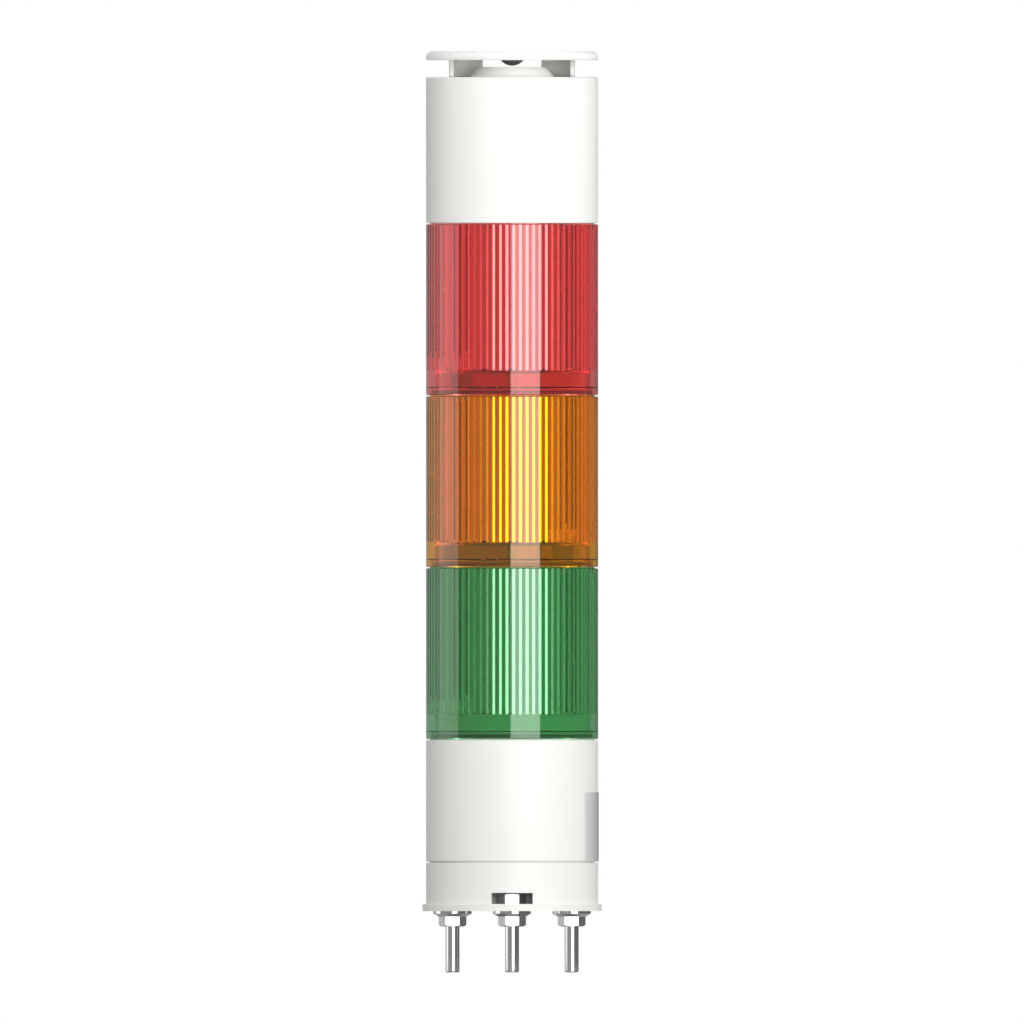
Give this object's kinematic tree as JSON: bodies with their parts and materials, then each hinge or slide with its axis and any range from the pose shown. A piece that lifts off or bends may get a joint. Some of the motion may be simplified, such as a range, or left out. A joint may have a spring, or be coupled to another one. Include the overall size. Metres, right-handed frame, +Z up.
{
  "type": "stack light",
  "caption": "Slim round signal tower: clear coloured tiers stacked neck into collar, a sounder under a raised cap, and a white body on a flanged base held down by bolts.",
  "frame": {"origin": "centre of the base's flat underside, on the tower's axis, where it meets the panel", "axes": "+Z up the tower, -Y towards its front, where one bolt stands; +X to its right"},
  "size_m": [0.0624, 0.0624, 0.3214],
  "materials": {
    "white_plastic": "smooth, light gloss",
    "zinc_steel": "bright zinc plating",
    "circuit_board": "solder resist",
    "green_terminal_plastic": "moulded",
    "capacitor_sleeve": "shrink sleeve",
    "black_rubber": "satin",
    "silver_label": "silver film, bare",
    "black_plastic": "moulded",
    "white_nylon": "moulded",
    "dark_grey_plastic": "moulded",
    "led_package": "clear resin over white",
    "green_lens_plastic": "clear, polished",
    "amber_lens_plastic": "clear, polished",
    "red_lens_plastic": "clear, polished"
  },
  "bodies": {
    "tower": {"mounting_base": "white_plastic", "mounting_bolts": "zinc_steel", "driver_board": "circuit_board", "terminal_block": "green_terminal_plastic", "terminal_screws": "zinc_steel", "driver_capacitors": "capacitor_sleeve", "driver_chips": "black_plastic", "body_seal": "black_rubber", "body_link_board": "circuit_board", "body_housing": "white_plastic", "side_label": "silver_label", "sounder_seal": "black_rubber", "sounder_board": "circuit_board", "sounder_chips": "black_plastic", "sounder_connector": "white_nylon", "sounder_socket": "white_nylon", "sounder_link_board": "circuit_board", "buzzer": "black_plastic", "sounder_housing": "white_plastic", "sounder_cap": "white_plastic", "sound_deflector": "dark_grey_plastic", "green_seal": "black_rubber", "green_lens": "green_lens_plastic", "green_board": "circuit_board", "green_leds": "led_package", "green_resistors": "black_plastic", "green_connector": "white_nylon", "green_link_board": "circuit_board", "green_socket": "white_nylon", "amber_seal": "black_rubber", "amber_lens": "amber_lens_plastic", "amber_board": "circuit_board", "amber_leds": "led_package", "amber_resistors": "black_plastic", "amber_connector": "white_nylon", "amber_link_board": "circuit_board", "amber_socket": "white_nylon", "red_seal": "black_rubber", "red_lens": "red_lens_plastic", "red_board": "circuit_board", "red_leds": "led_package", "red_resistors": "black_plastic", "red_connector": "white_nylon", "red_link_board": "circuit_board", "red_socket": "white_nylon"},
    "nut_front": {"nut_front": "zinc_steel"},
    "nut_left": {"nut_left": "zinc_steel"},
    "nut_right": {"nut_right": "zinc_steel"}
  },
  "joints": [
    {"name": "nut_front_slide", "type": "slide", "parent": "tower", "child": "nut_front", "axis": [0, 0, -1], "range_m": [0, 0.016]},
    {"name": "nut_left_slide", "type": "slide", "parent": "tower", "child": "nut_left", "axis": [0, 0, -1], "range_m": [0, 0.016]},
    {"name": "nut_right_slide", "type": "slide", "parent": "tower", "child": "nut_right", "axis": [0, 0, -1], "range_m": [0, 0.016]}
  ]
}
